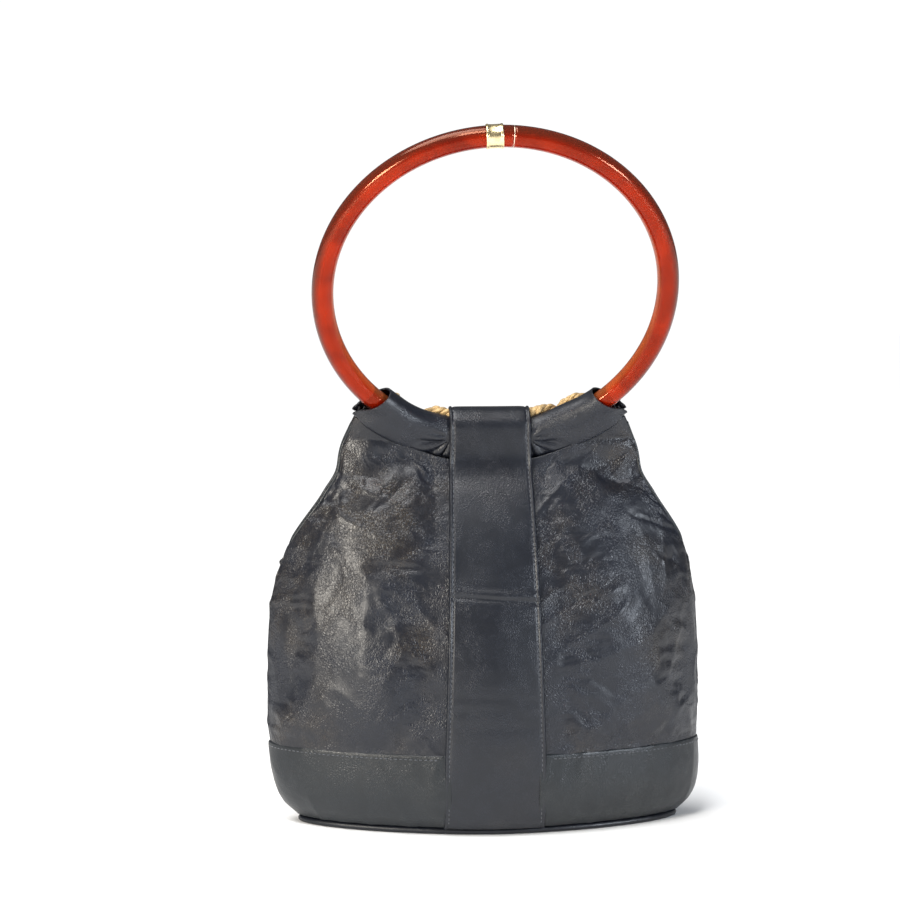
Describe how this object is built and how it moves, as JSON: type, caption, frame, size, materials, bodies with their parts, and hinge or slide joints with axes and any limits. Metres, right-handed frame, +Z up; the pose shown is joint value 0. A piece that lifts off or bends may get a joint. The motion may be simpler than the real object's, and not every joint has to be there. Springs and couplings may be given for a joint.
{
  "type": "bucket bag",
  "caption": "Soft leather bucket bag with a stiff base, side mouths, a centre strap and a rigid ring handle that swings in leather casings",
  "frame": {"origin": "middle of the base on the surface that the bag stands on", "axes": "+Z up from the base towards the ring, +X across the width, the front of the bag faces -Y"},
  "size_m": [0.3, 0.1828, 0.4884],
  "materials": {
    "pebbled_leather": "soft pebbled grain with a low sheen",
    "smooth_leather": "fine smooth grain with a low sheen",
    "lining": "plain woven lining",
    "board": "pressed fibre board",
    "rope": "twisted gold yarn",
    "acrylic": "clear polished amber red acrylic",
    "gold_metal": "polished pale gold plate"
  },
  "bodies": {
    "bag": {"front_left_panel": "pebbled_leather", "front_right_panel": "pebbled_leather", "back_left_panel": "pebbled_leather", "back_right_panel": "pebbled_leather", "base_band_left": "smooth_leather", "base_band_right": "smooth_leather", "strap_front": "smooth_leather", "strap_back": "smooth_leather", "mouth_binding_left": "smooth_leather", "mouth_binding_right": "smooth_leather", "lining_front": "lining", "lining_back": "lining", "lining_base": "lining", "base_panel": "smooth_leather", "base_piping": "smooth_leather", "base_board": "board"},
    "saddle": {"casing_left": "pebbled_leather", "casing_right": "pebbled_leather", "strap_loop": "smooth_leather", "gold_rope": "rope"},
    "ring": {"hoop": "acrylic", "hoop_key": "acrylic", "hoop_dowel": "gold_metal", "ferrule": "gold_metal"}
  },
  "joints": [
    {"name": "handle_swing", "type": "hinge", "parent": "bag", "child": "saddle", "pos_m": [0, 0, 0.272], "axis": [1, 0, 0], "range_deg": [-45, 50], "deforming": ["casing_left", "casing_right", "strap_loop"]},
    {"name": "ring_turn", "type": "hinge", "parent": "saddle", "child": "ring", "pos_m": [0, -0.05425, 0.37622], "axis": [0, 0.887, 0.4617], "continuous": true}
  ]
}
